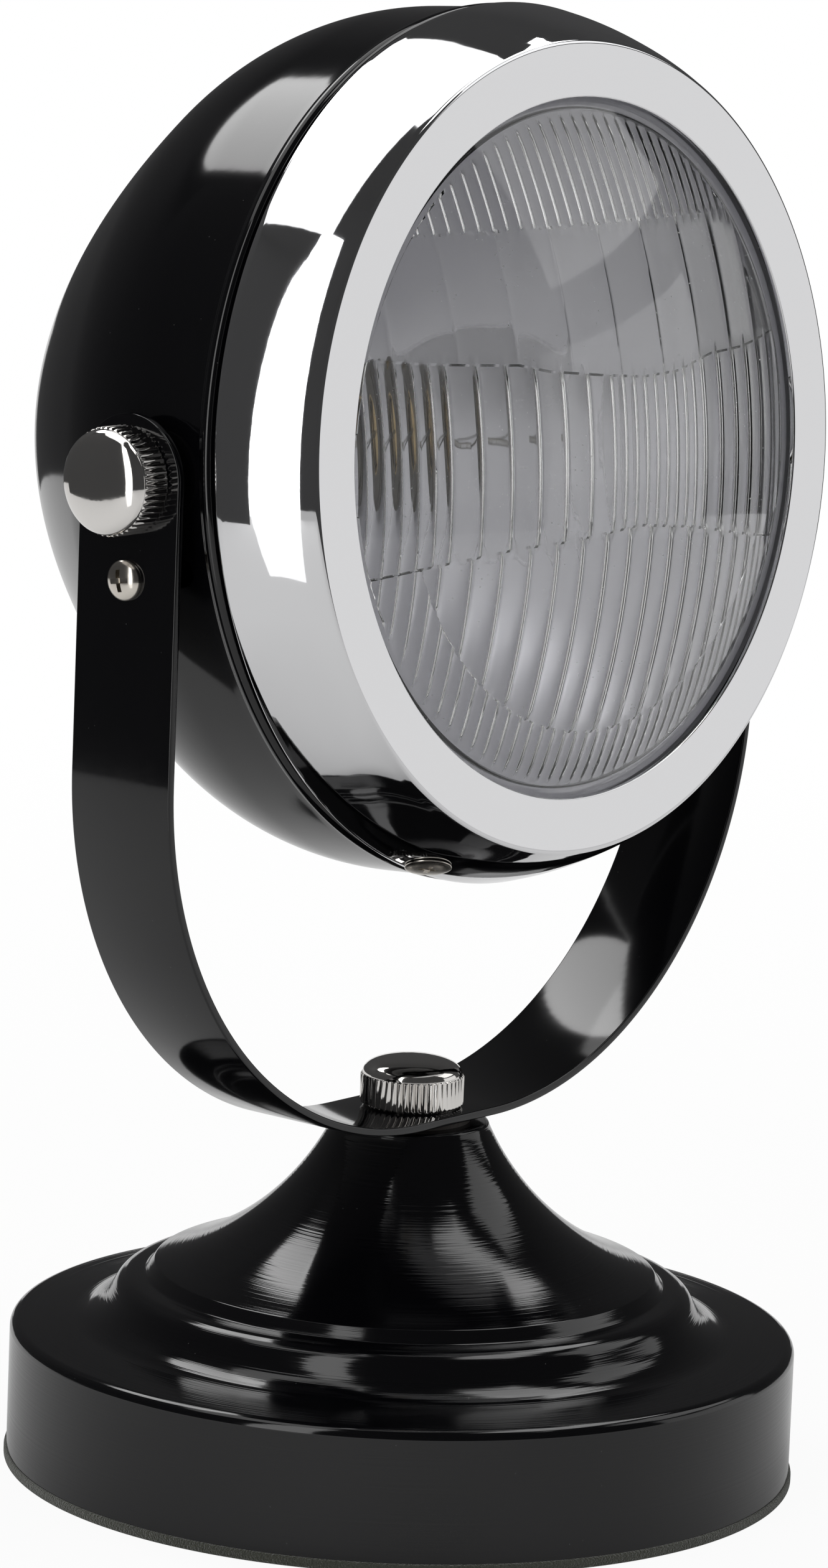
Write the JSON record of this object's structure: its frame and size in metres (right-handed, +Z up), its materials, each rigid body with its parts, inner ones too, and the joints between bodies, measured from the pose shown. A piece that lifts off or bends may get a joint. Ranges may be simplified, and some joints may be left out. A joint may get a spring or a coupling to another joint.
{
  "type": "tabletop searchlight lamp",
  "caption": "Round fluted-lens searchlight that tilts in a bent strip yoke, which swivels on a weighted spun base, with knurled thumb nuts.",
  "frame": {"origin": "centre of the felt's underside, on the table", "axes": "+Z up; -Y is the way the lamp shines; X along the tilt axis, +X on the right of someone who looks along +Y at the lens"},
  "size_m": [0.1934, 0.1604, 0.2843],
  "materials": {
    "black_paint": "gloss",
    "chrome": "polished",
    "nickel": "satin",
    "zinc": "satin",
    "iron": "rough",
    "felt": "matte",
    "lens_glass": "clear",
    "bulb_glass": "clear",
    "reflector": "polished",
    "rubber": "matte",
    "holder": "gloss",
    "fibre": "matte",
    "brass": "satin"
  },
  "bodies": {
    "base": {"base_shell": "black_paint", "base_weight": "iron", "felt_pad": "felt", "tie_rod": "zinc", "tie_rod_nut": "zinc", "tie_rod_washer": "zinc", "neck_washer": "fibre"},
    "yoke": {"yoke": "black_paint", "stop_screw": "nickel", "stop_screw_nut": "nickel", "friction_washer_left": "fibre", "friction_washer_right": "fibre"},
    "head": {"head_shell": "black_paint", "bezel": "chrome", "bezel_screw": "nickel", "bezel_clip_nut": "zinc", "lens": "lens_glass", "lens_gasket": "rubber", "reflector": "reflector", "lens_clips": "zinc", "lampholder": "holder", "lampholder_ring_nut": "holder", "lampholder_screw_shell": "brass", "centre_contact": "brass", "terminal_screws": "brass", "bulb_cap": "brass", "bulb_glass": "bulb_glass", "pivot_spacer_left": "black_paint", "pivot_spacer_right": "black_paint", "backing_washer_left": "zinc", "backing_washer_right": "zinc", "pivot_bolt_left": "zinc", "pivot_bolt_right": "zinc", "cord_grommet": "rubber"},
    "base_thumb_nut": {"base_thumb_nut": "chrome"},
    "left_thumb_nut": {"left_thumb_nut": "chrome"},
    "right_thumb_nut": {"right_thumb_nut": "chrome"}
  },
  "joints": [
    {"name": "yoke_swivel", "type": "hinge", "parent": "base", "child": "yoke", "pos_m": [0, 0, 0.0696], "axis": [0, 0, 1], "continuous": true},
    {"name": "head_tilt", "type": "hinge", "parent": "yoke", "child": "head", "pos_m": [0, 0, 0.2004], "axis": [1, 0, 0], "range_deg": [-16.8, 25.2]},
    {"name": "base_nut_turn", "type": "hinge", "parent": "base", "child": "base_thumb_nut", "pos_m": [0, 0, 0.0712], "axis": [0, 0, 1], "range_deg": [0, 360]},
    {"name": "left_nut_turn", "type": "hinge", "parent": "head", "child": "left_thumb_nut", "pos_m": [-0.087, 0, 0.2004], "axis": [-1, 0, 0], "range_deg": [0, 360]},
    {"name": "right_nut_turn", "type": "hinge", "parent": "head", "child": "right_thumb_nut", "pos_m": [0.087, 0, 0.2004], "axis": [1, 0, 0], "range_deg": [0, 360]}
  ]
}
